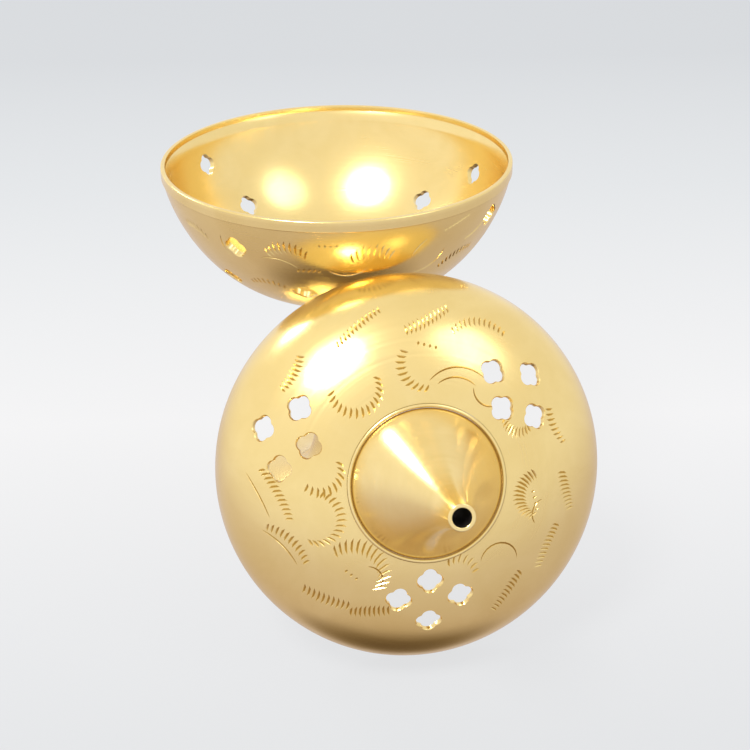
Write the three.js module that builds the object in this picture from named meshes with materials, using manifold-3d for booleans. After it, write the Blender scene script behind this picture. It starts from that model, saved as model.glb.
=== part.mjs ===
// A footed brass censer in two loose halves: a pierced bowl on a pedestal, and a
// pierced domed lid with a hollow spire that leans against the bowl.
// Millimetres, +Z up. The origin is the middle of the whole set's footprint.
import * as THREE from 'three';
import { mergeVertices } from 'three/addons/utils/BufferGeometryUtils.js';
import Module from 'manifold-3d';

const wasm = await Module();
wasm.setup();

// Driving dimensions
const RIM_RADIUS = 45;
const TOTAL_HEIGHT = 102.5;
const BOWL_DEPTH = 36.2;
const BOWL_WALL = 1.6;
const BOWL_CURVE = [1.55, 2.62];
const RIM_BAND = 2.8;
const RIM_STEP = 0.5;
const LAND_RADIUS = 7.5;
const LID_RADIUS = 46.4;
const LID_HEIGHT = 27;
const LID_WALL = 1.1;
const LID_CURVE = [2.3, 2.3];
const LID_SKIRT = 2.5;
const SEAT_RADIUS = 44.2;
const BEAD_RADIUS = 17.8;
const BEAD_THICKNESS = 0.9;
const SPIRE_HEIGHT = 37.5;
const SPIRE_TIP_RADIUS = 2.9;
const SMOKE_HOLE_RADIUS = 2;
const SPIRE_WALL = 1.4;
const SPIRE_FLARE = 1.45;
const BORE_FLARE = 4;
const FOOT_RADIUS = 34;
const FOOT_EDGE = 5;
const STEM_RADIUS = 6;
const STEM_TOP_RADIUS = 8;
const COLLAR_HEIGHT = 4;
const SCREW_RADIUS = 2;
const CLEARANCE = 0.3;

// How the lid stands: its axis rises this far above the table, turned to the side
const LID_RISE = THREE.MathUtils.degToRad(20.7);
const LID_TURN = THREE.MathUtils.degToRad(8.3);
const LID_OFFSET = [15.8, -54.9];

// Piercings: four-lobed holes in hand-spaced groups
const LOBE_REACH = 2.95;
const LOBE_RADIUS = 1.65;
const CUTTER_LENGTH = 9;
const LID_GROUPS = [
  { azimuth: 39.5, radius: 29.4 },
  { azimuth: 157.5, radius: 33.2 },
  { azimuth: 268.5, radius: 28 },
];
const LID_GROUP_REACH = 5.2;
const LID_GROUP_SPREAD = 7.3;
const BOWL_GROUPS = [
  { azimuth: -31, lean: -4, depth: 10 },
  { azimuth: 119, lean: -4.5, depth: 11.8 },
  { azimuth: 244.5, lean: -5.5, depth: 9.4 },
];
const BOWL_LOWER_DEPTH = 22.5;
const BOWL_GROUP_SPREAD = 17.5;
const BOWL_LONE_HOLE = { azimuth: 60, depth: 8 };

// Mesh fineness
const SHELL_SIDES = 44;
const FOOT_SIDES = 36;
const SMALL_SIDES = 24;
const CURVE_STEPS = 6;

const BOWL_FLOOR = TOTAL_HEIGHT - BOWL_DEPTH;
const STEM_HOLE_RADIUS = SCREW_RADIUS + CLEARANCE;
const { degToRad } = THREE.MathUtils;

function brass(color, roughness) {
  return new THREE.MeshStandardMaterial({ color, roughness, metalness: 1 });
}

function piece(name, geometry, material) {
  const mesh = new THREE.Mesh(geometry, material);
  mesh.name = name;
  return mesh;
}

// Radius of a superellipse shell at a given distance from its rim plane
function shellRadius(radius, height, curve, distance) {
  const rest = Math.max(0, 1 - (distance / height) ** curve[0]);
  return radius * rest ** (1 / curve[1]);
}

// Distance from the rim plane at which the same shell has a given radius
function shellDistance(radius, height, curve, r) {
  return height * (1 - (r / radius) ** curve[1]) ** (1 / curve[0]);
}

// Points of a shell curve from one distance to another, closer together towards the crown
function shellPoints(radius, height, curve, from, to, steps = CURVE_STEPS) {
  const points = [];
  const start = Math.asin(from / height);
  const end = Math.asin(Math.min(1, to / height));
  for (let i = 0; i <= steps; i += 1) {
    const distance = height * Math.sin(start + ((end - start) * i) / steps);
    points.push([shellRadius(radius, height, curve, distance), distance]);
  }
  return points;
}

// Revolves an outline of [radius, height] points. A ring outline is closed on itself.
function revolve(outline, sides, ring = false) {
  const points = outline.map(([r, z]) => new THREE.Vector2(r, z));
  if (ring) points.push(points[0].clone());
  const geometry = new THREE.LatheGeometry(points, sides);
  geometry.rotateX(Math.PI / 2);
  return geometry;
}

function positionsOnly(geometry) {
  const copy = geometry.clone();
  copy.deleteAttribute('normal');
  copy.deleteAttribute('uv');
  return mergeVertices(copy, 1e-4);
}

function toSolid(geometry) {
  const merged = positionsOnly(geometry);
  const vertProperties = new Float32Array(merged.attributes.position.array);
  const triVerts = new Uint32Array(merged.index.array);
  return new wasm.Manifold(new wasm.Mesh({ numProp: 3, vertProperties, triVerts }));
}

function toGeometry(solid) {
  const mesh = solid.getMesh();
  const geometry = new THREE.BufferGeometry();
  geometry.setAttribute('position', new THREE.BufferAttribute(mesh.vertProperties, 3));
  geometry.setIndex(new THREE.BufferAttribute(mesh.triVerts, 1));
  geometry.computeVertexNormals();
  return geometry;
}

// A four-lobed outline: four round lobes joined by a square middle
function quatrefoil() {
  const shape = new THREE.Shape();
  const centre = LOBE_REACH - LOBE_RADIUS;
  const meeting = Math.PI / 4 + Math.asin(centre / (Math.SQRT2 * LOBE_RADIUS));
  const opening = meeting - degToRad(4);
  for (let lobe = 0; lobe < 4; lobe += 1) {
    const along = (lobe * Math.PI) / 2;
    const x = centre * Math.cos(along);
    const y = centre * Math.sin(along);
    shape.absarc(x, y, LOBE_RADIUS, along - opening, along + opening, false);
  }
  shape.closePath();
  return shape;
}

// A cutter through the wall at a place, with its lobes along and across the meridian
function cutter({ point, outward }) {
  const geometry = new THREE.ExtrudeGeometry(quatrefoil(), {
    depth: CUTTER_LENGTH,
    bevelEnabled: false,
    curveSegments: 2,
  });
  geometry.translate(0, 0, -CUTTER_LENGTH / 2);
  const through = outward.clone().normalize();
  const across = new THREE.Vector3(-point.y, point.x, 0).normalize();
  const along = through.clone().cross(across);
  const turn = new THREE.Matrix4().makeBasis(across, along, through);
  geometry.applyMatrix4(turn.setPosition(point));
  return toSolid(geometry);
}

// Place and outward direction on a shell of revolution, for an azimuth in radians
function onShell(radius, height, curve, distance, azimuth, sign) {
  const step = 0.2;
  const r = shellRadius(radius, height, curve, distance);
  const slope = (shellRadius(radius, height, curve, distance + step) - r) / step;
  const around = new THREE.Vector3(Math.cos(azimuth), Math.sin(azimuth), 0);
  const point = around.clone().multiplyScalar(r);
  point.z = sign * distance;
  const outward = around.clone();
  outward.z = -slope * sign;
  return { point, outward };
}

function pierce(geometry, places) {
  let solid = toSolid(geometry);
  for (const place of places) {
    solid = solid.subtract(cutter(place));
  }
  return toGeometry(solid);
}

// Azimuths on the bowl are counted from the front, positive to the right
function bowlPlace(azimuth, depth) {
  const angle = degToRad(azimuth - 90);
  const place = onShell(RIM_RADIUS, BOWL_DEPTH, BOWL_CURVE, depth, angle, -1);
  place.point.z += TOTAL_HEIGHT;
  return place;
}

function bowlPlaces() {
  const places = [bowlPlace(BOWL_LONE_HOLE.azimuth, BOWL_LONE_HOLE.depth)];
  for (const { azimuth, lean, depth } of BOWL_GROUPS) {
    places.push(bowlPlace(azimuth + lean, depth));
    places.push(bowlPlace(azimuth - BOWL_GROUP_SPREAD, BOWL_LOWER_DEPTH));
    places.push(bowlPlace(azimuth + BOWL_GROUP_SPREAD, BOWL_LOWER_DEPTH));
  }
  return places;
}

function lidPlace(azimuth, radius) {
  const distance = shellDistance(LID_RADIUS, LID_HEIGHT, LID_CURVE, radius);
  return onShell(LID_RADIUS, LID_HEIGHT, LID_CURVE, distance, degToRad(azimuth), 1);
}

// Each group on the lid is a diamond: one hole inside, one outside and one on each side
function lidPlaces() {
  const places = [];
  for (const { azimuth, radius } of LID_GROUPS) {
    const spread = THREE.MathUtils.radToDeg(LID_GROUP_SPREAD / radius);
    places.push(lidPlace(azimuth, radius - LID_GROUP_REACH));
    places.push(lidPlace(azimuth, radius + LID_GROUP_REACH));
    places.push(lidPlace(azimuth - spread, radius));
    places.push(lidPlace(azimuth + spread, radius));
  }
  return places;
}

function bowlShell() {
  const outer = shellPoints(RIM_RADIUS, BOWL_DEPTH, BOWL_CURVE, RIM_BAND, BOWL_DEPTH);
  const innerRadius = RIM_RADIUS - BOWL_WALL;
  const innerDepth = BOWL_DEPTH - BOWL_WALL;
  const inner = shellPoints(innerRadius, innerDepth, BOWL_CURVE, RIM_BAND, innerDepth);
  const heightOf = ([r, depth]) => [r, TOTAL_HEIGHT - depth];
  const outline = [
    [STEM_HOLE_RADIUS, BOWL_FLOOR],
    [LAND_RADIUS, BOWL_FLOOR],
    ...outer.slice(0, -1).map(heightOf).reverse(),
    [RIM_RADIUS, TOTAL_HEIGHT - RIM_BAND],
    [RIM_RADIUS, TOTAL_HEIGHT],
    [innerRadius + RIM_STEP, TOTAL_HEIGHT],
    [innerRadius + RIM_STEP, TOTAL_HEIGHT - RIM_BAND / 2],
    ...inner.slice(0, -1).map(heightOf),
    [LAND_RADIUS, BOWL_FLOOR + BOWL_WALL],
    [STEM_HOLE_RADIUS, BOWL_FLOOR + BOWL_WALL],
  ];
  return pierce(revolve(outline, SHELL_SIDES, true), bowlPlaces());
}

function collar() {
  const top = BOWL_FLOOR - CLEARANCE;
  const foot = BOWL_FLOOR - COLLAR_HEIGHT;
  const bulge = STEM_TOP_RADIUS + 1;
  const middle = (top + foot) / 2;
  return revolve([
    [STEM_HOLE_RADIUS, foot],
    [STEM_TOP_RADIUS - 1, foot],
    [bulge - 0.3, middle - 1],
    [bulge, middle],
    [bulge - 0.3, middle + 1],
    [STEM_TOP_RADIUS - 1, top],
    [STEM_HOLE_RADIUS, top],
  ], SMALL_SIDES, true);
}

// Outer radius of the pedestal: a saucer foot that sweeps up into the stem
function sweepRadius(height) {
  const run = FOOT_RADIUS - 3 - STEM_RADIUS;
  return STEM_RADIUS + run / (1 + ((height - FOOT_EDGE) / 3.2) ** 1.5);
}

function pedestal() {
  const top = BOWL_FLOOR - COLLAR_HEIGHT - CLEARANCE;
  const wall = 2.2;
  const bore = 14;
  const sweep = [5.2, 6.5, 8, 10, 13, 17, 23, 32, 44].map((z) => [sweepRadius(z), z]);
  const hollow = [5.2, 6.5, 8].map((z) => [sweepRadius(z) - wall, z - 0.6 * wall]);
  return revolve([
    [0, 8],
    ...hollow.reverse(),
    [FOOT_RADIUS - 3.8, FOOT_EDGE - wall - 0.6],
    [FOOT_RADIUS - 3.4, 0],
    [FOOT_RADIUS - 0.8, 0],
    [FOOT_RADIUS, 0.8],
    [FOOT_RADIUS, FOOT_EDGE - 2.4],
    [FOOT_RADIUS - 1, FOOT_EDGE - 1],
    ...sweep,
    [STEM_TOP_RADIUS - 0.8, top - 4],
    [STEM_TOP_RADIUS, top - 1.5],
    [STEM_TOP_RADIUS - 1.5, top],
    [STEM_HOLE_RADIUS, top],
    [STEM_HOLE_RADIUS, top - bore],
    [0, top - bore],
  ], FOOT_SIDES);
}

function washer() {
  const foot = BOWL_FLOOR + BOWL_WALL + CLEARANCE;
  return revolve([
    [STEM_HOLE_RADIUS, foot],
    [6, foot],
    [6, foot + 1],
    [STEM_HOLE_RADIUS, foot + 1],
  ], SMALL_SIDES, true);
}

function screw() {
  const seat = BOWL_FLOOR + BOWL_WALL + 2 * CLEARANCE + 1;
  const tip = BOWL_FLOOR - COLLAR_HEIGHT - 12;
  return revolve([
    [0, tip],
    [SCREW_RADIUS - 0.4, tip],
    [SCREW_RADIUS, tip + 0.6],
    [SCREW_RADIUS, seat],
    [4, seat],
    [4, seat + 1],
    [2.8, seat + 2],
    [0, seat + 2.3],
  ], SMALL_SIDES);
}

function lidDome() {
  const edge = BEAD_RADIUS + BEAD_THICKNESS;
  const crown = shellDistance(LID_RADIUS, LID_HEIGHT, LID_CURVE, edge);
  const innerRadius = LID_RADIUS - LID_WALL;
  const innerHeight = LID_HEIGHT - LID_WALL;
  const innerCrown = shellDistance(innerRadius, innerHeight, LID_CURVE, edge);
  const outer = shellPoints(LID_RADIUS, LID_HEIGHT, LID_CURVE, 0, crown);
  const inner = shellPoints(innerRadius, innerHeight, LID_CURVE, 3 * LID_SKIRT, innerCrown);
  return pierce(revolve([
    ...outer,
    ...inner.reverse(),
    [SEAT_RADIUS, LID_SKIRT],
    [innerRadius, LID_SKIRT],
    [innerRadius, 0],
  ], SHELL_SIDES, true), lidPlaces());
}

// The height of the ring where the spire stands on the dome
function ringHeight() {
  return shellDistance(LID_RADIUS, LID_HEIGHT, LID_CURVE, BEAD_RADIUS);
}

function lidBead() {
  const geometry = new THREE.TorusGeometry(BEAD_RADIUS, BEAD_THICKNESS - CLEARANCE, 6, FOOT_SIDES);
  geometry.translate(0, 0, ringHeight() - 0.3);
  return geometry;
}

// Points up the spire, a cone that is slightly hollow-sided
function spirePoints(base, tip, flare, foot) {
  const shares = [0, 0.08, 0.17, 0.27, 0.38, 0.5, 0.63, 0.76, 0.88];
  return shares.map((share) => [
    tip + (base - tip) * (1 - share) ** flare,
    foot + share * SPIRE_HEIGHT,
  ]);
}

function lidSpire() {
  const base = BEAD_RADIUS - BEAD_THICKNESS;
  const foot = ringHeight() - 0.5;
  const outer = spirePoints(base, SPIRE_TIP_RADIUS, SPIRE_FLARE, foot);
  const inner = spirePoints(base - 1, SMOKE_HOLE_RADIUS, BORE_FLARE, foot - SPIRE_WALL);
  return revolve([
    ...outer,
    [SPIRE_TIP_RADIUS, foot + SPIRE_HEIGHT],
    [SMOKE_HOLE_RADIUS, foot + SPIRE_HEIGHT],
    ...inner.reverse(),
  ], FOOT_SIDES, true);
}

function bowlHalf() {
  const group = new THREE.Group();
  group.add(piece('bowl_shell', bowlShell(), brass(0xd9b45a, 0.28)));
  group.add(piece('stem_collar', collar(), brass(0xcfa850, 0.32)));
  group.add(piece('pedestal', pedestal(), brass(0xd2ac55, 0.3)));
  group.add(piece('screw_washer', washer(), brass(0xb98f45, 0.4)));
  group.add(piece('bowl_screw', screw(), brass(0xb58a40, 0.4)));
  return group;
}

// Built with its rim in the plane z = 0, then tipped forward and turned
function lidHalf() {
  const upright = new THREE.Group();
  upright.add(piece('lid_dome', lidDome(), brass(0xd9b45a, 0.28)));
  upright.add(piece('lid_bead', lidBead(), brass(0xe0bd66, 0.26)));
  upright.add(piece('lid_spire', lidSpire(), brass(0xd6b058, 0.28)));
  upright.rotation.x = Math.PI / 2 - LID_RISE;
  const standing = new THREE.Group();
  standing.add(upright);
  standing.rotation.z = LID_TURN;
  standing.position.set(LID_OFFSET[0], LID_OFFSET[1], LID_RADIUS * Math.cos(LID_RISE));
  return standing;
}

// Moves the set so that the origin is the middle of its footprint
function centred(parts) {
  const group = new THREE.Group();
  group.add(...parts);
  group.updateMatrixWorld(true);
  const box = new THREE.Box3().setFromObject(group, true);
  const middle = box.getCenter(new THREE.Vector3());
  group.position.set(-middle.x, -middle.y, -box.min.z);
  return group;
}

export default centred([bowlHalf(), lidHalf()]);
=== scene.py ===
import math

import bmesh
import bpy
import numpy as np
from mathutils import Matrix, Vector


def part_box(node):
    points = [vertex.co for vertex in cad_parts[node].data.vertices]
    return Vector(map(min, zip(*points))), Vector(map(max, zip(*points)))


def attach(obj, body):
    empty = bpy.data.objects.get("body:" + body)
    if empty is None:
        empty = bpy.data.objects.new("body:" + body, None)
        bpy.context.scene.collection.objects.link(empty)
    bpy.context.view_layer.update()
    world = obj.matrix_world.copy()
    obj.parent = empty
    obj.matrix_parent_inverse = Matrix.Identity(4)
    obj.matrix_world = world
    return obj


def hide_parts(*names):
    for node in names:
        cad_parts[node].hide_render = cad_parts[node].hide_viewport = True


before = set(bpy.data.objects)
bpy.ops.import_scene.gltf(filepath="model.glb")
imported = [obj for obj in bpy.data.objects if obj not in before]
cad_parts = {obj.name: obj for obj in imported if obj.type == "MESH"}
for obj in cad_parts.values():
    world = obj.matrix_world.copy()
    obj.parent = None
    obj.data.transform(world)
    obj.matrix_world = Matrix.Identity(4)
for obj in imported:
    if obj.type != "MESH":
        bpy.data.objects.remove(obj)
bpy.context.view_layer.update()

MM = 0.001

# The two shells, as in the CAD: radius, height, and the two powers of their curve
BOWL_OUTSIDE = (45.0, 36.2, (1.55, 2.62))
BOWL_INSIDE = (43.4, 34.6, (1.55, 2.62))
LID_OUTSIDE = (46.4, 27.0, (2.3, 2.3))
LID_INSIDE = (45.3, 25.9, (2.3, 2.3))
RIM_HEIGHT = 102.5
RIM_BAND = 2.8
RIM_STEP = 0.5
LAND_RADIUS = 7.5
BOWL_FLOOR = RIM_HEIGHT - BOWL_OUTSIDE[1]
BOWL_WALL = 1.6
LID_SKIRT = 2.5
SEAT_RADIUS = 44.2
BEAD_RADIUS = 17.8
BEAD_THICKNESS = 0.9
RIDGE = 1.0
CLEARANCE = 0.3
SPIRE_HEIGHT = 37.5
SPIRE_TIP_RADIUS = 2.9
SMOKE_HOLE_RADIUS = 2.0
SPIRE_WALL = 1.4
# Inside this radius the spire's bore gets a near-black coat of painted shade.
BORE_SHADE_RADIUS = 6.0
SPIRE_FLARE = 1.45
BORE_FLARE = 4.0
STEM_HOLE_RADIUS = 2.3

# The fixing through the bowl's floor: a collar below it, and a washer and a screw above it
COLLAR_HEIGHT = 4.0
WASHER_HEIGHT = 1.0
SCREW_REACH = 12.0
WASHER_RADIUS = 6.0
SCREW_HEAD_RADIUS = 4.0
SCREW_RADIUS = 2.0
THREAD_DEPTH = 0.28
THREAD_PITCH = 0.7

# The pedestal: its radius falls from the edge of the foot to the stem by the sweep's curve
FOOT_RADIUS = 34.0
STEM_RADIUS = 6.0
STEM_TOP_RADIUS = 8.0
SWEEP_REACH = FOOT_RADIUS - 3 - STEM_RADIUS
SWEEP_START = 5.0
SWEEP_SCALE = 3.2
SWEEP_POWER = 1.5
SCRIBE_RADII = ((24.0, 0.3), (14.5, 0.25))
SCRIBE_DEPTH = 0.25

# How the lid stands, as in the CAD
LID_RISE = math.radians(20.7)
LID_TURN = math.radians(8.3)
LID_OFFSET = Vector((15.8, -54.9, LID_OUTSIDE[0] * math.cos(LID_RISE)))

# Piercings: four-lobed holes, in millimetres and degrees, as in the CAD. The bevel gives
# heights over the surface, each with the size of the hole there. A lid group has an azimuth
# and a radius, and a bowl group an azimuth with the lean and depth of its upper hole.
LOBE_REACH = 2.95
LOBE_RADIUS = 1.65
HOLE_BEVEL = ((-4.5, 1.0), (-0.35, 1.0), (0.15, 1.13), (0.9, 1.32))
LID_GROUPS = ((39.5, 29.4), (157.5, 33.2), (268.5, 28.0))
LID_GROUP_REACH = 5.2
LID_GROUP_SPREAD = 7.3
BOWL_GROUPS = ((-31.0, -4.0, 10.0), (119.0, -4.5, 11.8), (244.5, -5.5, 9.4))
BOWL_LOWER_DEPTH = 22.5
BOWL_GROUP_SPREAD = 17.5
BOWL_LONE_HOLE = (60.0, 8.0)

# Engraving, in millimetres: the grooves, and how a fan's cuts hook, turn and shorten
CUT_DEPTH = 0.32
CUT_WIDTH = 0.62
LINE_WIDTH = 0.42
CUTTER_RISE = 0.5
END_RISE = 0.04
FAN_PITCH = 1.15
FAN_TURN = 0.6
FAN_TAPER = 0.9
STROKE_HOOK = 0.08
DOT_PITCH = 1.5
DOT_LENGTH = 1.0
LINE_STEPS = 12

# Fans of cuts on the lid. Each row is the azimuth and radius of a place, the start and the
# end of an arc as (across, out) from that place, the bend of the arc in degrees, and the
# direction and length of the cuts along it. Out is towards the rim.
LID_FANS = (
    (-135, 22, (4, 4), (-7, 5), -160, 170, 4.5),
    (-135, 34, (5, 2), (-5, -2), 0, -25, 4),
    (-115, 34, (4, 2), (-4, -2), 20, 160, 4),
    (-160, 34, (4, 4), (-6, -1), -60, 150, 3),
    (180, 35, (5, 3), (-6, -3), -20, 175, 3),
    (-165, 22, (5, 2), (-3, 8), -180, -160, 3),
    (175, 22, (5, -1), (0, 5), -150, -110, 3),
    (-10, 20, (-5, 4), (7, 5), 150, 5, 4),
    (-10, 32, (-4, -1), (5, 3), 30, -10, 4),
    (-35, 32, (-6, 0), (5, 2), 40, -20, 3.5),
    (-60, 32, (-6, -2), (4, 3), 20, -15, 3.5),
    (-70, 20, (3, 0), (-1, 4), -110, -130, 3),
    (95, 26, (1, 4), (4, -4), 120, -100, 3),
    (65, 37, (-5, -4), (6, 0), -80, -10, 3),
    (110, 37, (-5, -2), (7, 2), 0, 5, 3),
    (130, 24, (0, 6), (8, 2), 200, -145, 3),
    (135, 37, (4, 2), (-5, 0), -60, -10, 3.5),
    (20, 23, (-5, -2), (0, 4), 130, -50, 3),
    (15, 34, (-5, 0), (3, 1), 30, -170, 3),
    (85, 38, (-5, -3), (5, 3), 0, 170, 4),
)
LID_OUTLINES = (
    (-45, 22, (6, 0), (0, 7), -180),
    (70, 27, (-6, -5), (7, -1), -100),
    (70, 25, (-4, -3), (5, -1), -90),
    (-160, 36, (5, 3), (-6, -2), -50),
    (180, 38, (5, 3), (-6, -3), -20),
    (-20, 24, (-3, 4), (3, 4), 120),
    (50, 21, (-4, 3), (3, 3), 130),
    (-120, 22, (-1, 5), (4, 1), 140),
)
LID_DOT_ROWS = (
    (-15, 26, (-2, -1), (2, 1)),
    (-133, 27, (-1.5, 0), (1.5, 0)),
    (85, 31, (-2, 0.5), (2, -0.5)),
)

# The bowl's fans: azimuth from the front, depth, and the same sizes as above
BOWL_FANS = (
    (-16, 11, (-4, 0), (4, 0), -80, -5, 4.5),
    (11, 12, (-4, 0), (4, 0), -75, 5, 5),
    (-52, 10, (-3.5, 1), (3.5, -1), -40, -20, 3.5),
    (-10, 15, (-2.5, 0), (2.5, 0), 0, 15, 2),
    (40, 5.5, (-3.5, -1), (3.5, 1), 0, 60, 1.5),
    (52, 10, (-3.5, -2), (3.5, 2), 45, 40, 2.5),
    (47, 17, (-4.5, -2), (4.5, 1), -60, -10, 3),
    (-28, 22, (-4, 0), (4, 0), -70, 0, 3),
    (74, 15, (-5, -2), (5, 0), 60, -10, 3),
    (98, 11, (-4, 0), (4, 0), -75, 0, 4.5),
    (140, 11, (-4, 0), (4, 0), -75, 0, 4.5),
    (163, 14, (-5, 0), (5, 0), 80, 180, 3),
    (183, 11, (-4, 0), (4, 0), -75, 0, 4.5),
    (207, 14, (-5, 0), (5, 0), 80, 180, 3),
    (266, 11, (-4, 0), (4, 0), -75, 0, 4.5),
    (287, 14, (-5, 0), (5, 0), 80, 180, 3),
)
BOWL_OUTLINES = (
    (27, 10, (2, 3), (-2, -3), 50),
    (-20, 13, (-4.5, 1.5), (5, -1), -80),
    (3, 14, (-5, 1), (5, 1), 120),
    (-38, 10, (-1.5, 3), (0, -4), 60),
    (33, 15, (-4, -3), (3.5, 4), 85),
    (62, 17, (-4, -2), (4, 3), 80),
    (84, 18, (-5, 2), (5, 2), -130),
    (109, 17, (-2, 3.5), (1.5, -3.5), 70),
    (152, 20, (-5, 2), (5, 2), -120),
    (175, 20, (-5, 2), (5, 2), -120),
    (196, 20, (-5, 2), (5, 2), -120),
    (256, 17, (-2, 3.5), (1.5, -3.5), 70),
    (277, 20, (-5, 2), (5, 2), -120),
)
BOWL_DOT_ROWS = (
    (-3, 6.5, (-2, 0), (2, 0)),
    (109, 7.5, (-2, 0), (2, 0)),
    (163, 7, (-3, 0), (3, 0)),
    (226, 7.5, (-2, 0), (2, 0)),
    (287, 7, (-3, 0), (3, 0)),
)

# The camera, in metres from the bowl's axis on the table, its sensor and lens in millimetres
CAMERA_PLACE = Vector((0.0023, -0.3604, 0.2277))
CAMERA_PITCH = math.radians(27.6)
CAMERA_YAW = math.radians(1.1)
CAMERA_ROLL = math.radians(-0.6)
CAMERA_SENSOR = 36
CAMERA_LENS = 70.56


def middle(node):
    low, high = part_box(node)
    return (low + high) / 2


FOOT = middle("pedestal")
BOWL_AXIS = Vector((FOOT.x, FOOT.y, 0))
BOWL_PLACE = Matrix.Translation(BOWL_AXIS)
LID_PLACE = (
    Matrix.Translation(BOWL_AXIS + LID_OFFSET * MM)
    @ Matrix.Rotation(LID_TURN, 4, "Z")
    @ Matrix.Rotation(math.pi / 2 - LID_RISE, 4, "X")
)


# ---------------------------------------------------------------- shapes


def shell_radius(shell, distance):
    """A shell's radius at a distance from its rim along its axis."""
    radius, height, (a, b) = shell
    return radius * max(0.0, 1 - (distance / height) ** a) ** (1 / b)


def shell_distance(shell, r):
    """The distance from a shell's rim, along its axis, at which it has a radius."""
    radius, height, (a, b) = shell
    return height * max(0.0, 1 - (r / radius) ** b) ** (1 / a)


def shell_points(shell, start, end, steps):
    """Points of a shell's curve between two distances from its rim, as (radius, distance)."""
    height = shell[1]
    first = math.asin(min(1.0, start / height))
    last = math.asin(min(1.0, end / height))
    turns = [first + (last - first) * i / steps for i in range(steps + 1)]
    return [(shell_radius(shell, height * math.sin(t)), height * math.sin(t)) for t in turns]


def arc_points(centre, radius, start, end, steps):
    """Points of a round edge in the outline plane, from one angle to another in degrees."""
    points = []
    for i in range(steps + 1):
        turn = math.radians(start + (end - start) * i / steps)
        points.append((centre[0] + radius * math.cos(turn), centre[1] + radius * math.sin(turn)))
    return points


def make_object(name, points, faces, place):
    """An object from points in millimetres, put at its place in metres."""
    mesh = bpy.data.meshes.new(name)
    mesh.from_pydata([Vector(p) * MM for p in points], [], faces)
    mesh.validate()
    obj = bpy.data.objects.new(name, mesh)
    bpy.context.scene.collection.objects.link(obj)
    obj.matrix_world = place
    return obj


def revolve(name, outline, sides, place):
    """A closed lathe solid from a closed outline of (radius, height) points."""
    points = []
    for r, z in outline:
        for i in range(sides):
            turn = 2 * math.pi * i / sides
            points.append((r * math.cos(turn), r * math.sin(turn), z))
    faces = []
    count = len(outline)
    for ring in range(count):
        after = (ring + 1) % count
        for i in range(sides):
            j = (i + 1) % sides
            faces.append((ring * sides + i, ring * sides + j, after * sides + j, after * sides + i))
    obj = make_object(name, points, faces, place)
    soften = bmesh.new()
    soften.from_mesh(obj.data)
    bmesh.ops.remove_doubles(soften, verts=soften.verts, dist=0.002 * MM)
    bmesh.ops.dissolve_degenerate(soften, edges=soften.edges, dist=0.001 * MM)
    bmesh.ops.recalc_face_normals(soften, faces=soften.faces)
    soften.to_mesh(obj.data)
    soften.free()
    return obj


class Surface:
    """The outside of a shell of revolution, with its places given by azimuth and distance."""

    STEP = 0.05

    def __init__(self, shell, sign, rim_height, zero):
        self.shell = shell
        self.sign = sign
        self.rim_height = rim_height
        self.zero = zero

    def at(self, angle, distance):
        r = shell_radius(self.shell, distance)
        height = self.rim_height + self.sign * distance
        return Vector((r * math.cos(angle), r * math.sin(angle), height))

    def frame(self, azimuth, distance):
        """A place, with the clockwise direction, the one to the rim, and the outward one."""
        angle = math.radians(azimuth + self.zero)
        point = self.at(angle, distance)
        out = (self.at(angle, distance - self.STEP) - point).normalized()
        around = Vector((-math.sin(angle), math.cos(angle), 0))
        outward = around.cross(out) * -self.sign
        if outward.dot(Vector((point.x, point.y, 0))) < 0:
            outward = -outward
        across = out.cross(outward)
        return point, across.normalized(), out, outward.normalized()

    def offset(self, azimuth, distance, across, out):
        """A point of the surface, and its outward direction, beside a given place."""
        point, side, up, outward = self.frame(azimuth, distance)
        flat = point + side * across + up * out
        angle = math.atan2(flat.y, flat.x)
        r = math.hypot(flat.x, flat.y)
        away = (flat.z - self.rim_height) * self.sign
        for _ in range(4):
            on_curve = shell_radius(self.shell, max(away, 0.01))
            slope = (shell_radius(self.shell, away + self.STEP) - on_curve) / self.STEP
            gap = (r - on_curve) / (1 + slope * slope)
            r -= gap
            away += gap * slope
        away = min(max(away, self.STEP), self.shell[1] * 0.98)
        point, _, _, outward = self.frame(math.degrees(angle) - self.zero, away)
        return point, outward


LID_SURFACE = Surface(LID_OUTSIDE, sign=1, rim_height=0.0, zero=0.0)
BOWL_SURFACE = Surface(BOWL_OUTSIDE, sign=-1, rim_height=RIM_HEIGHT, zero=-90.0)


# ---------------------------------------------------------------- cutters


def quatrefoil(steps=7):
    """The outline of a piercing: four round lobes joined by a square middle."""
    centre = LOBE_REACH - LOBE_RADIUS
    meeting = math.pi / 4 + math.asin(centre / (math.sqrt(2) * LOBE_RADIUS))
    opening = meeting - math.radians(4)
    points = []
    for lobe in range(4):
        along = lobe * math.pi / 2
        for i in range(steps + 1):
            turn = along - opening + 2 * opening * i / steps
            points.append((
                centre * math.cos(along) + LOBE_RADIUS * math.cos(turn),
                centre * math.sin(along) + LOBE_RADIUS * math.sin(turn),
            ))
    return points


def hole_cutter(surface, azimuth, distance):
    """A cutter through the wall with a small bevel where it meets the outside."""
    place, across, out, outward = surface.frame(azimuth, distance)
    outline = quatrefoil()
    count = len(outline)
    points = []
    for level, scale in HOLE_BEVEL:
        for x, y in outline:
            points.append(place + across * x * scale + out * y * scale + outward * level)
    faces = [tuple(range(count)), tuple(range(len(points) - 1, len(points) - count - 1, -1))]
    for ring in range(len(HOLE_BEVEL) - 1):
        for i in range(count):
            j = (i + 1) % count
            low, high = ring * count, (ring + 1) * count
            faces.append((low + j, low + i, high + i, high + j))
    return points, faces


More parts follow.
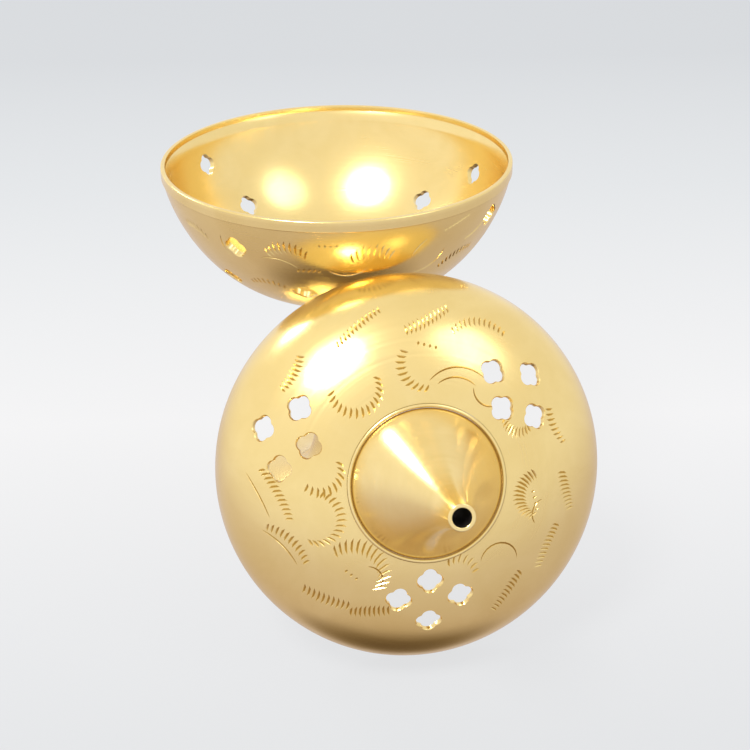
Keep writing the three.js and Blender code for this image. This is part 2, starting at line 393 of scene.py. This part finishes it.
def groove_cutter(surface, azimuth, distance, path, width):
    """A graver's cut along a path of (across, out) points, tapering to both ends."""
    points = []
    last = len(path) - 1
    spots = [surface.offset(azimuth, distance, x, y) for x, y in path]
    for i, (spot, outward) in enumerate(spots):
        ahead = spots[min(i + 1, last)][0] - spots[max(i - 1, 0)][0]
        side = ahead.cross(outward).normalized()
        if i in (0, last):
            points.append(spot + outward * END_RISE)
            continue
        share = math.sin(math.pi * i / last) ** 0.5
        depth = CUT_DEPTH * share
        half = width / 2 * share * (1 + CUTTER_RISE / depth)
        points.append(spot + outward * CUTTER_RISE + side * half)
        points.append(spot + outward * CUTTER_RISE - side * half)
        points.append(spot - outward * depth)
    faces = []
    stations = last - 1
    corner = [1 + 3 * i for i in range(stations)]
    end = len(points) - 1
    for i in range(3):
        j = (i + 1) % 3
        faces.append((0, corner[0] + i, corner[0] + j))
        faces.append((end, corner[-1] + j, corner[-1] + i))
        for first, second in zip(corner, corner[1:]):
            faces.append((first + i, second + i, second + j, first + j))
    return points, faces


def bent_line(start, end, bend, steps):
    """Points of a round arc between two points, with the direction at each."""
    start, end = Vector(start), Vector(end)
    chord = end - start
    half = math.radians(bend) / 2
    if abs(half) < 0.01:
        return [start + chord * i / steps for i in range(steps + 1)]
    radius = chord.length / 2 / math.sin(half)
    normal = Vector((-chord.y, chord.x)).normalized()
    centre = (start + end) / 2 + normal * radius * math.cos(half)
    points = []
    for i in range(steps + 1):
        turn = 2 * half * i / steps
        arm = start - centre
        points.append(centre + Vector((
            arm.x * math.cos(turn) - arm.y * math.sin(turn),
            arm.x * math.sin(turn) + arm.y * math.cos(turn),
        )))
    return points


def fan_cuts(surface, distance_of, row):
    """The cuts of one fan: short strokes set side by side along an arc."""
    azimuth, place, start, end, bend, lean, length = row
    distance = distance_of(place)
    sweep = math.radians(abs(bend)) / 2
    chord = (Vector(end) - Vector(start)).length
    span = chord if sweep < 0.01 else chord * sweep / math.sin(sweep)
    count = max(4, round(span / FAN_PITCH))
    turned = math.radians(bend) * FAN_TURN
    cuts = []
    for i, spot in enumerate(bent_line(start, end, bend, count)):
        share = i / count - 0.5
        aim = math.radians(lean) - turned * share
        reach = length * (1 - FAN_TAPER * share * share)
        stroke = Vector((math.sin(aim), math.cos(aim))) * reach
        hook = Vector((-stroke.y, stroke.x)) * STROKE_HOOK
        path = [spot, spot + stroke * 0.3 + hook, spot + stroke * 0.7 + hook, spot + stroke]
        cuts.append(groove_cutter(surface, azimuth, distance, path, CUT_WIDTH))
    return cuts


def line_cut(surface, distance_of, row):
    """One long bent cut."""
    azimuth, place, start, end, bend = row
    path = bent_line(start, end, bend, LINE_STEPS)
    return groove_cutter(surface, azimuth, distance_of(place), path, LINE_WIDTH)


def dot_cuts(surface, distance_of, row):
    """A row of short cuts, each across the row."""
    azimuth, place, start, end = row
    start, end = Vector(start), Vector(end)
    along = (end - start).normalized()
    count = max(1, round((end - start).length / DOT_PITCH))
    cuts = []
    for i in range(count + 1):
        spot = start + (end - start) * i / count
        half = Vector((-along.y, along.x)) * DOT_LENGTH / 2
        path = [spot - half, spot - half * 0.3, spot + half * 0.3, spot + half]
        cuts.append(groove_cutter(surface, azimuth, distance_of(place), path, CUT_WIDTH))
    return cuts


def apart(cutters):
    """Sorts cutters into batches in which no two can touch."""
    batches = []
    for points, faces in cutters:
        low = [min(p[i] for p in points) for i in range(3)]
        high = [max(p[i] for p in points) for i in range(3)]
        for batch in batches:
            clear = all(
                any(low[i] > other[1][i] or high[i] < other[0][i] for i in range(3))
                for other in batch["boxes"]
            )
            if clear:
                break
        else:
            batch = {"boxes": [], "points": [], "faces": []}
            batches.append(batch)
        base = len(batch["points"])
        batch["boxes"].append((low, high))
        batch["points"] += points
        batch["faces"] += [tuple(base + i for i in face) for face in faces]
    return batches


def carve(obj, cutters, place):
    """Cuts every cutter out of the object and keeps the result as its mesh."""
    tools = []
    for number, batch in enumerate(apart(cutters)):
        tool = make_object(f"{obj.name}_tool{number}", batch["points"], batch["faces"], place)
        facing = bmesh.new()
        facing.from_mesh(tool.data)
        bmesh.ops.recalc_face_normals(facing, faces=facing.faces)
        facing.to_mesh(tool.data)
        facing.free()
        cut = obj.modifiers.new("cut", "BOOLEAN")
        cut.operation = "DIFFERENCE"
        cut.solver = "MANIFOLD"
        cut.object = tool
        tools.append(tool)
    bpy.context.view_layer.update()
    graph = bpy.context.evaluated_depsgraph_get()
    result = bpy.data.meshes.new_from_object(obj.evaluated_get(graph))
    obj.modifiers.clear()
    obj.data = result
    for tool in tools:
        bpy.data.objects.remove(tool)


def settle(obj):
    """Moves the mesh itself into place and keeps its lathe coordinates for the materials."""
    mesh = obj.data
    places = np.empty(len(mesh.vertices) * 3, np.float32)
    mesh.vertices.foreach_get("co", places)
    kept = mesh.attributes.new("lathe", "FLOAT_VECTOR", "POINT")
    kept.data.foreach_set("vector", places)
    mesh.transform(obj.matrix_world)
    obj.matrix_world = Matrix.Identity(4)


def finish_piece(obj, material, body, nodes, sharp=28):
    """Smooth shading with crisp edges, the material, and the piece's place on the frame."""
    settle(obj)
    obj.data.materials.clear()
    obj.data.materials.append(material)
    obj.data.shade_smooth()
    obj.data.set_sharp_from_angle(angle=math.radians(sharp))
    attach(obj, body)
    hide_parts(*nodes)


# ---------------------------------------------------------------- materials


class Nodes:
    """Short calls for building a material's node tree."""

    def __init__(self, material):
        material.use_nodes = True
        self.tree = material.node_tree
        self.tree.nodes.clear()

    def add(self, kind, inputs=None, **settings):
        node = self.tree.nodes.new(kind)
        for key, value in settings.items():
            setattr(node, key, value)
        for key, value in (inputs or {}).items():
            if isinstance(value, bpy.types.NodeSocket):
                self.tree.links.new(value, node.inputs[key])
            else:
                node.inputs[key].default_value = value
        return node

    def ramp(self, factor, stops):
        node = self.add("ShaderNodeValToRGB", {"Fac": factor})
        elements = node.color_ramp.elements
        while len(elements) < len(stops):
            elements.new(0.5)
        for element, (place, colour) in zip(elements, stops):
            element.position = place
            element.color = (*colour, 1)
        return node.outputs["Color"]

    def spread(self, value, low, high, to_low, to_high):
        node = self.add("ShaderNodeMapRange", {
            "Value": value,
            "From Min": low,
            "From Max": high,
            "To Min": to_low,
            "To Max": to_high,
        })
        return node.outputs["Result"]


def brass(name, light, deep, shade_colour, smooth, rough, line_depth, shade_strength):
    """Turned and hand-rubbed brass: turning lines, cloudy rub marks, and painted shade that darkens
    the cuts and hollows.
    """
    material = bpy.data.materials.new(name)
    nodes = Nodes(material)
    place = nodes.add("ShaderNodeAttribute", attribute_name="lathe").outputs["Vector"]
    axes = nodes.add("ShaderNodeSeparateXYZ", {"Vector": place})
    flat = nodes.add("ShaderNodeCombineXYZ", {
        "X": axes.outputs["X"],
        "Y": axes.outputs["Y"],
    })
    radius = nodes.add("ShaderNodeVectorMath", {"Vector": flat.outputs["Vector"]}, operation="LENGTH")
    ring = nodes.add("ShaderNodeMath", {
        0: axes.outputs["Z"],
        1: 0.8,
        2: radius.outputs["Value"],
    }, operation="MULTIPLY_ADD")
    turning = nodes.add("ShaderNodeTexNoise", {
        "W": ring.outputs["Value"],
        "Scale": 2100.0,
        "Detail": 3.0,
        "Roughness": 0.65,
    }, noise_dimensions="1D")
    clouds = nodes.add("ShaderNodeTexNoise", {
        "Vector": place,
        "Scale": 60.0,
        "Detail": 5.0,
        "Roughness": 0.6,
        "Distortion": 0.6,
    })
    grain = nodes.add("ShaderNodeTexNoise", {
        "Vector": place,
        "Scale": 1500.0,
        "Detail": 3.0,
        "Roughness": 0.6,
    })
    # Painted shade: the colour darkens towards a dark brown where the spot is closed in, as in the
    # cuts and hollows. Ambient occlusion within 0.9 mm measures how closed in it is.
    occlusion = nodes.add("ShaderNodeAmbientOcclusion", {"Distance": 0.0009}, samples=6)
    tone = nodes.ramp(clouds.outputs["Fac"], ((0.32, deep), (0.68, light)))
    hollow = nodes.spread(occlusion.outputs["AO"], 0.45, 0.95, shade_strength, 0.0)
    shade = nodes.add("ShaderNodeMix", {
        "Factor": hollow,
        "A": tone,
        "B": (*shade_colour, 1),
    }, data_type="RGBA")
    base_rough = nodes.spread(clouds.outputs["Fac"], 0.3, 0.7, rough, smooth)
    streaks = nodes.spread(turning.outputs["Fac"], 0.3, 0.7, -0.03, 0.03)
    roughness = nodes.add("ShaderNodeMath", {0: base_rough, 1: streaks}, operation="ADD")
    lines = nodes.add("ShaderNodeBump", {
        "Height": turning.outputs["Fac"],
        "Strength": 1.0,
        "Distance": line_depth * MM,
    })
    bumps = nodes.add("ShaderNodeBump", {
        "Height": grain.outputs["Fac"],
        "Strength": 1.0,
        "Distance": 0.003 * MM,
        "Normal": lines.outputs["Normal"],
    })
    shader = nodes.add("ShaderNodeBsdfPrincipled", {
        "Base Color": shade.outputs["Result"],
        "Metallic": 1.0,
        "Roughness": roughness.outputs["Value"],
        "Normal": bumps.outputs["Normal"],
    })
    nodes.add("ShaderNodeOutputMaterial", {"Surface": shader.outputs["BSDF"]})
    return material


def bore_shade_black(name):
    """Painted shade on the inside of the spire: a near-black, rough, speckled coat."""
    material = bpy.data.materials.new(name)
    nodes = Nodes(material)
    place = nodes.add("ShaderNodeAttribute", attribute_name="lathe").outputs["Vector"]
    mottle = nodes.add("ShaderNodeTexNoise", {"Vector": place, "Scale": 900.0, "Detail": 4.0})
    tone = nodes.ramp(mottle.outputs["Fac"], (
        (0.3, (0.004, 0.003, 0.003)),
        (0.7, (0.016, 0.011, 0.008)),
    ))
    bumps = nodes.add("ShaderNodeBump", {
        "Height": mottle.outputs["Fac"],
        "Strength": 1.0,
        "Distance": 0.05 * MM,
    })
    shader = nodes.add("ShaderNodeBsdfPrincipled", {
        "Base Color": tone,
        "Roughness": nodes.spread(mottle.outputs["Fac"], 0.3, 0.7, 0.75, 0.9),
        "Specular IOR Level": 0.2,
        "Normal": bumps.outputs["Normal"],
    })
    nodes.add("ShaderNodeOutputMaterial", {"Surface": shader.outputs["BSDF"]})
    return material


# ---------------------------------------------------------------- the pieces


def bowl_curve(shell, steps):
    """A curve of the bowl as (radius, height), from under the rim band to the flat land."""
    return [
        (r, RIM_HEIGHT - distance)
        for r, distance in shell_points(shell, RIM_BAND, shell[1], steps)
        if r > LAND_RADIUS
    ]


def bowl_shell(material):
    """The bowl: a plain band at the rim with a step inside it, and a flat land for the foot."""
    band_foot = RIM_HEIGHT - RIM_BAND
    outside = reversed(bowl_curve(BOWL_OUTSIDE, 46))
    inside = bowl_curve(BOWL_INSIDE, 40)
    edge = BOWL_OUTSIDE[0]
    step = BOWL_INSIDE[0] + RIM_STEP
    rim_round = 0.3
    step_round = 0.12
    outline = [
        (STEM_HOLE_RADIUS, BOWL_FLOOR),
        (LAND_RADIUS, BOWL_FLOOR),
        *outside,
        (edge - 0.12, band_foot + 0.1),
        (edge, band_foot + 0.25),
        (edge, band_foot + 1.5),
        *arc_points((edge - rim_round, RIM_HEIGHT - rim_round), rim_round, 0, 90, 4),
        *arc_points((step + step_round, RIM_HEIGHT - step_round), step_round, 90, 180, 2),
        (step, RIM_HEIGHT - RIM_BAND / 2),
        *inside,
        (LAND_RADIUS, BOWL_FLOOR + BOWL_WALL),
        (STEM_HOLE_RADIUS, BOWL_FLOOR + BOWL_WALL),
    ]
    obj = revolve("bowl_body", outline, sides=360, place=BOWL_PLACE)
    holes = [hole_cutter(BOWL_SURFACE, *BOWL_LONE_HOLE)]
    for azimuth, lean, depth in BOWL_GROUPS:
        holes.append(hole_cutter(BOWL_SURFACE, azimuth + lean, depth))
        for side in (-1, 1):
            spread = side * BOWL_GROUP_SPREAD
            holes.append(hole_cutter(BOWL_SURFACE, azimuth + spread, BOWL_LOWER_DEPTH))
    cuts = []
    for row in BOWL_FANS:
        cuts += fan_cuts(BOWL_SURFACE, float, row)
    for row in BOWL_OUTLINES:
        cuts.append(line_cut(BOWL_SURFACE, float, row))
    for row in BOWL_DOT_ROWS:
        cuts += dot_cuts(BOWL_SURFACE, float, row)
    carve(obj, holes + cuts, BOWL_PLACE)
    finish_piece(obj, material, "bowl", ["bowl_shell"])


def lid_distance(r):
    """The height of the lid's outside over its rim, at a radius."""
    return shell_distance(LID_OUTSIDE, r)


def lid_dome(material):
    """The dome, open at the ring, with a step inside its skirt that rests on the bowl."""
    opening = BEAD_RADIUS + RIDGE / 2
    inner_crown = shell_distance(LID_INSIDE, opening)
    outside = shell_points(LID_OUTSIDE, 0.35, lid_distance(opening), 52)
    inside = shell_points(LID_INSIDE, 3 * LID_SKIRT, inner_crown, 30)
    outline = [
        (LID_OUTSIDE[0] - 0.3, 0),
        (LID_OUTSIDE[0] - 0.08, 0.12),
        *outside,
        *reversed(inside),
        (SEAT_RADIUS, LID_SKIRT),
        (LID_INSIDE[0], LID_SKIRT),
        (LID_INSIDE[0], 0.1),
        (LID_INSIDE[0] + 0.1, 0),
    ]
    obj = revolve("lid_dome_body", outline, sides=400, place=LID_PLACE)
    holes = []
    for azimuth, radius in LID_GROUPS:
        spread = math.degrees(LID_GROUP_SPREAD / radius)
        for side in (-1, 1):
            out = radius + side * LID_GROUP_REACH
            holes.append(hole_cutter(LID_SURFACE, azimuth, lid_distance(out)))
            turned = azimuth + side * spread
            holes.append(hole_cutter(LID_SURFACE, turned, lid_distance(radius)))
    cuts = []
    for row in LID_FANS:
        cuts += fan_cuts(LID_SURFACE, lid_distance, row)
    for row in LID_OUTLINES:
        cuts.append(line_cut(LID_SURFACE, lid_distance, row))
    for row in LID_DOT_ROWS:
        cuts += dot_cuts(LID_SURFACE, lid_distance, row)
    carve(obj, holes + cuts, LID_PLACE)
    finish_piece(obj, material, "lid", ["lid_dome"])


def lid_bead(material):
    """The ring between dome and spire: one narrow raised line."""
    top = lid_distance(BEAD_RADIUS)
    foot = top - 0.9
    half = RIDGE / 2 - 0.04
    obj = revolve("lid_ring", [
        (BEAD_RADIUS - half, foot),
        (BEAD_RADIUS + half, foot),
        *arc_points((BEAD_RADIUS, top - 0.16), half, 0, 180, 16),
    ], sides=240, place=LID_PLACE)
    finish_piece(obj, material, "lid", ["lid_bead"], sharp=50)


def spire_points(base, tip, flare, foot, top, steps):
    """Points up a hollow-sided cone, for the spire's outside and for its bore."""
    return [
        (tip + (base - tip) * (1 - i / steps) ** flare, foot + (top - foot) * i / steps)
        for i in range(steps)
    ]


def lid_spire(material, shade_material):
    """The spire, with a near-black painted shade on the narrow part of its bore."""
    low = lid_distance(BEAD_RADIUS) - 0.5
    top = low + SPIRE_HEIGHT
    lip = 0.25
    foot = low + 0.4
    outside = spire_points(
        BEAD_RADIUS - RIDGE / 2, SPIRE_TIP_RADIUS, SPIRE_FLARE, foot, top, 70
    )
    bore_foot = low - SPIRE_WALL
    wide = BEAD_RADIUS - BEAD_THICKNESS - 1
    bore = spire_points(wide, SMOKE_HOLE_RADIUS, BORE_FLARE, bore_foot, top, 40)
    obj = revolve("lid_spire_body", [
        *[point for point in outside if point[1] < top - 2 * lip],
        *arc_points((SPIRE_TIP_RADIUS - lip, top - lip), lip, 0, 90, 5),
        *arc_points((SMOKE_HOLE_RADIUS + lip, top - lip), lip, 90, 180, 5),
        *[point for point in reversed(bore) if point[1] < top - 2 * lip],
    ], sides=200, place=LID_PLACE)
    # Painted shade: the faces of the narrow bore are picked out for the near-black material.
    shaded_faces = []
    for number, face in enumerate(obj.data.polygons):
        height = face.center.z / MM
        share = min(max((height - bore_foot) / (top - bore_foot), 0), 1)
        wall = SMOKE_HOLE_RADIUS + (wide - SMOKE_HOLE_RADIUS) * (1 - share) ** BORE_FLARE
        r = math.hypot(face.center.x, face.center.y) / MM
        if r < min(wall + 0.1, BORE_SHADE_RADIUS) and height < top - lip:
            shaded_faces.append(number)
    finish_piece(obj, material, "lid", ["lid_spire"])
    obj.data.materials.append(shade_material)
    for number in shaded_faces:
        obj.data.polygons[number].material_index = 1


def sweep_radius(height):
    """The pedestal's radius, from the edge of its foot up into the stem."""
    rise = (height - SWEEP_START) / SWEEP_SCALE
    return STEM_RADIUS + SWEEP_REACH / (1 + rise ** SWEEP_POWER)


def pedestal(material):
    """The foot: a rolled edge, a sweep with two scribed lines, and a stem with a bead."""
    top = BOWL_FLOOR - COLLAR_HEIGHT - CLEARANCE
    bore_depth = 14
    low, high, steps = 5.2, 44, 48
    heights = [low + (high - low) * (i / steps) ** 1.9 for i in range(steps + 1)]
    sweep = []
    for z in heights:
        r = sweep_radius(z)
        scribed = any(abs(r - middle_of_line) < half for middle_of_line, half in SCRIBE_RADII)
        scribe = SCRIBE_DEPTH if scribed else 0
        sweep.append((r - scribe * 0.5, z - scribe))
    hollow = [(sweep_radius(z) - 2.2, z - 1.32) for z in (8, 7.4, 6.9, 6.5, 6.1, 5.7, 5.4, 5.2)]
    obj = revolve("pedestal_body", [
        (0, 8),
        (14, 7.6),
        *hollow,
        (FOOT_RADIUS - 3.8, 2.2),
        (FOOT_RADIUS - 3.4, 0.1),
        (FOOT_RADIUS - 3.2, 0),
        (FOOT_RADIUS - 0.9, 0),
        *arc_points((FOOT_RADIUS - 0.8, 0.8), 0.8, -85, 0, 5),
        *arc_points((FOOT_RADIUS - 1, 3.0), 1.0, 0, 88, 6),
        (FOOT_RADIUS - 1.8, 4.2),
        *sweep,
        (STEM_RADIUS + 0.3, 48),
        (STEM_RADIUS + 0.35, 49),
        *arc_points((STEM_RADIUS + 0.3, 50), 0.9, -70, 70, 6),
        (STEM_RADIUS + 0.35, 51),
        (STEM_RADIUS + 0.6, 54),
        (STEM_TOP_RADIUS - 0.8, top - 4),
        (STEM_TOP_RADIUS - 0.2, top - 2.2),
        (STEM_TOP_RADIUS, top - 1.5),
        (STEM_TOP_RADIUS - 0.3, top - 0.5),
        (STEM_TOP_RADIUS - 1.5, top),
        (STEM_HOLE_RADIUS, top),
        (STEM_HOLE_RADIUS, top - bore_depth),
        (0, top - bore_depth),
    ], sides=200, place=BOWL_PLACE)
    finish_piece(obj, material, "bowl", ["pedestal"], sharp=35)


def stem_collar(material):
    """A round collar between the bowl and the pedestal."""
    top = BOWL_FLOOR - CLEARANCE
    foot = BOWL_FLOOR - COLLAR_HEIGHT
    centre = (top + foot) / 2
    obj = revolve("collar_ring", [
        (STEM_HOLE_RADIUS, foot),
        (STEM_TOP_RADIUS - 1, foot),
        (STEM_TOP_RADIUS - 0.8, foot + 0.35),
        *arc_points((STEM_TOP_RADIUS - 0.3, centre), 1.3, -80, 80, 12),
        (STEM_TOP_RADIUS - 0.8, top - 0.35),
        (STEM_TOP_RADIUS - 1, top),
        (STEM_HOLE_RADIUS, top),
    ], sides=160, place=BOWL_PLACE)
    finish_piece(obj, material, "bowl", ["stem_collar"], sharp=40)


def washer(material):
    """A flat washer on the bowl's floor."""
    foot = BOWL_FLOOR + BOWL_WALL + CLEARANCE
    obj = revolve("washer_ring", [
        (STEM_HOLE_RADIUS, foot),
        (WASHER_RADIUS - 0.15, foot),
        (WASHER_RADIUS, foot + 0.15),
        (WASHER_RADIUS, foot + 0.75),
        (WASHER_RADIUS - 0.25, foot + WASHER_HEIGHT),
        (STEM_HOLE_RADIUS + 0.1, foot + WASHER_HEIGHT),
        (STEM_HOLE_RADIUS, foot + 0.9),
    ], sides=96, place=BOWL_PLACE)
    finish_piece(obj, material, "bowl", ["screw_washer"], sharp=30)


def screw(material):
    """A domed screw with a driver slot."""
    seat = BOWL_FLOOR + BOWL_WALL + 2 * CLEARANCE + WASHER_HEIGHT
    tip = BOWL_FLOOR - COLLAR_HEIGHT - SCREW_REACH
    thread = []
    z = tip + 0.8
    while z < seat - 1.5:
        thread += [(SCREW_RADIUS, z), (SCREW_RADIUS - THREAD_DEPTH, z + THREAD_PITCH / 2)]
        z += THREAD_PITCH
    dome = []
    for i in range(12):
        turn = math.pi / 2 * i / 12
        height = seat + 0.9 + 1.4 * math.sin(turn)
        dome.append((SCREW_HEAD_RADIUS * math.cos(turn), height))
    obj = revolve("screw_body", [
        (0, tip),
        (1.6, tip),
        *thread,
        (1.95, seat - 0.6),
        (1.95, seat),
        (SCREW_HEAD_RADIUS - 0.1, seat),
        (SCREW_HEAD_RADIUS, seat + 0.1),
        *dome,
        (0, seat + 2.3),
    ], sides=96, place=BOWL_PLACE)
    slot_floor = seat + 1.3
    corners = []
    for z in (slot_floor, seat + 4):
        for x, y in ((-5, -0.45), (5, -0.45), (5, 0.45), (-5, 0.45)):
            corners.append(Vector((x, y, z)))
    faces = [(3, 2, 1, 0), (4, 5, 6, 7), (0, 1, 5, 4), (1, 2, 6, 5), (2, 3, 7, 6), (3, 0, 4, 7)]
    carve(obj, [(corners, faces)], BOWL_PLACE)
    finish_piece(obj, material, "bowl", ["bowl_screw"], sharp=30)


# ---------------------------------------------------------------- the setting


def make_camera():
    """The camera in front of the set, a little above it."""
    data = bpy.data.cameras.new("camera")
    data.sensor_width = CAMERA_SENSOR
    data.lens = CAMERA_LENS
    camera = bpy.data.objects.new("camera", data)
    bpy.context.scene.collection.objects.link(camera)
    look = Vector((
        math.sin(CAMERA_YAW) * math.cos(CAMERA_PITCH),
        math.cos(CAMERA_YAW) * math.cos(CAMERA_PITCH),
        -math.sin(CAMERA_PITCH),
    ))
    camera.rotation_mode = "QUATERNION"
    turn = look.to_track_quat("-Z", "Y")
    roll = Matrix.Rotation(CAMERA_ROLL, 4, "Z").to_quaternion()
    camera.rotation_quaternion = turn @ roll
    camera.location = BOWL_AXIS + CAMERA_PLACE
    bpy.context.scene.camera = camera


def make_floor():
    """A pale sheet with painted light on it, that metal doesn't mirror, and that is clear from below.
    """
    mesh = bpy.data.meshes.new("floor")
    half = 6
    corners = [(-half, -half, 0), (half, -half, 0), (half, half, 0), (-half, half, 0)]
    mesh.from_pydata(corners, [], [(0, 1, 2, 3)])
    floor = bpy.data.objects.new("floor", mesh)
    bpy.context.scene.collection.objects.link(floor)
    floor.location.z = -0.0002
    floor.visible_glossy = False
    material = bpy.data.materials.new("pale_floor")
    nodes = Nodes(material)
    place = nodes.add("ShaderNodeTexCoord").outputs["Object"]
    axes = nodes.add("ShaderNodeSeparateXYZ", {"Vector": place})
    # Painted light: the sheet glows with its own light, brightest in a band a little behind the set
    # and darker towards the front and the back.
    depth = nodes.spread(axes.outputs["Y"], -0.1, 0.5, 0, 1)
    tone = nodes.ramp(depth, (
        (0.0, (0.65, 0.665, 0.685)),
        (0.3, (0.80, 0.80, 0.81)),
        (0.65, (0.68, 0.70, 0.72)),
        (1.0, (0.60, 0.62, 0.645)),
    ))
    glow = nodes.add("ShaderNodeEmission", {"Color": tone, "Strength": 1.0})
    paper = nodes.add("ShaderNodeBsdfDiffuse", {"Color": (0.07, 0.07, 0.07, 1)})
    both = nodes.add("ShaderNodeAddShader", {0: glow.outputs["Emission"], 1: paper.outputs["BSDF"]})
    clear = nodes.add("ShaderNodeBsdfTransparent")
    side = nodes.add("ShaderNodeNewGeometry")
    mixed = nodes.add("ShaderNodeMixShader", {
        0: side.outputs["Backfacing"],
        1: both.outputs["Shader"],
        2: clear.outputs["BSDF"],
    })
    nodes.add("ShaderNodeOutputMaterial", {"Surface": mixed.outputs["Shader"]})
    mesh.materials.append(material)


def softbox(name, azimuth, elevation, distance, size, power):
    """A round light aimed at the set. Azimuth 0 is the front and 90 the right."""
    data = bpy.data.lights.new(name, "AREA")
    data.shape = "DISK"
    data.size = size
    data.energy = power
    light = bpy.data.objects.new(name, data)
    bpy.context.scene.collection.objects.link(light)
    turn, rise = math.radians(azimuth), math.radians(elevation)
    away = Vector((
        math.sin(turn) * math.cos(rise),
        -math.cos(turn) * math.cos(rise),
        math.sin(rise),
    ))
    light.location = Vector((0, 0, 0.05)) + away * distance
    light.rotation_mode = "QUATERNION"
    light.rotation_quaternion = (-away).to_track_quat("-Z", "Y")


def make_world():
    """Bright walls and ceiling, warm and darker towards the ground."""
    world = bpy.data.worlds.new("studio")
    bpy.context.scene.world = world
    world.use_nodes = True
    nodes = Nodes(world)
    direction = nodes.add("ShaderNodeTexCoord").outputs["Generated"]
    parts = nodes.add("ShaderNodeSeparateXYZ", {"Vector": direction})
    height = nodes.spread(parts.outputs["Z"], -1, 1, 0, 1)
    sky = nodes.ramp(height, (
        (0.0, (0.12, 0.08, 0.05)),
        (0.02, (0.22, 0.16, 0.11)),
        (0.065, (0.60, 0.51, 0.50)),
        (0.2, (0.67, 0.60, 0.61)),
        (0.3, (0.72, 0.66, 0.70)),
        (0.43, (0.90, 0.88, 0.93)),
        (0.55, (0.99, 0.98, 0.99)),
        (1.0, (0.97, 0.94, 0.88)),
    ))
    side = nodes.spread(parts.outputs["X"], -1, 1, 1.04, 0.93)
    lit = nodes.add("ShaderNodeVectorMath", {0: sky, "Scale": side}, operation="SCALE")
    seen = nodes.add("ShaderNodeLightPath").outputs["Is Camera Ray"]
    shown = nodes.add("ShaderNodeMix", {
        "Factor": seen,
        "A": lit.outputs["Vector"],
        "B": (0.68, 0.70, 0.72, 1),
    }, data_type="RGBA")
    back = nodes.add("ShaderNodeBackground", {
        "Color": shown.outputs["Result"],
        "Strength": 1.0,
    })
    nodes.add("ShaderNodeOutputWorld", {"Surface": back.outputs["Background"]})


make_camera()
make_world()
make_floor()
softbox("key", azimuth=-40, elevation=58, distance=1.2, size=0.4, power=10)
softbox("fill", azimuth=64, elevation=52, distance=1.3, size=0.6, power=1.6)
softbox("back", azimuth=-134, elevation=35, distance=1.2, size=0.3, power=2.4)
bpy.context.scene.view_settings.view_transform = "Standard"

# Each brass below gets a dark brown painted shade for its cuts and hollows, and a strength for it.
SHELL_BRASS = brass(
    "shell_brass", light=(0.95, 0.75, 0.34), deep=(0.89, 0.68, 0.28), shade_colour=(0.30, 0.18, 0.06),
    smooth=0.17, rough=0.27, line_depth=0.006, shade_strength=0.5,
)
SPIRE_BRASS = brass(
    "spire_brass", light=(0.95, 0.76, 0.36), deep=(0.89, 0.69, 0.30), shade_colour=(0.30, 0.18, 0.06),
    smooth=0.17, rough=0.26, line_depth=0.007, shade_strength=0.5,
)
FOOT_BRASS = brass(
    "foot_brass", light=(0.92, 0.71, 0.32), deep=(0.82, 0.60, 0.24), shade_colour=(0.26, 0.14, 0.04),
    smooth=0.2, rough=0.32, line_depth=0.005, shade_strength=0.7,
)
FIXING_BRASS = brass(
    "fixing_brass", light=(0.74, 0.54, 0.24), deep=(0.55, 0.37, 0.15), shade_colour=(0.14, 0.08, 0.03),
    smooth=0.32, rough=0.48, line_depth=0.01, shade_strength=0.9,
)
# A near-black painted shade for the spire's bore.
BORE_SHADE = bore_shade_black("bore_painted_shade")

bowl_shell(SHELL_BRASS)
lid_dome(SHELL_BRASS)
lid_bead(SPIRE_BRASS)
lid_spire(SPIRE_BRASS, BORE_SHADE)
pedestal(FOOT_BRASS)
stem_collar(FOOT_BRASS)
washer(FIXING_BRASS)
screw(FIXING_BRASS)
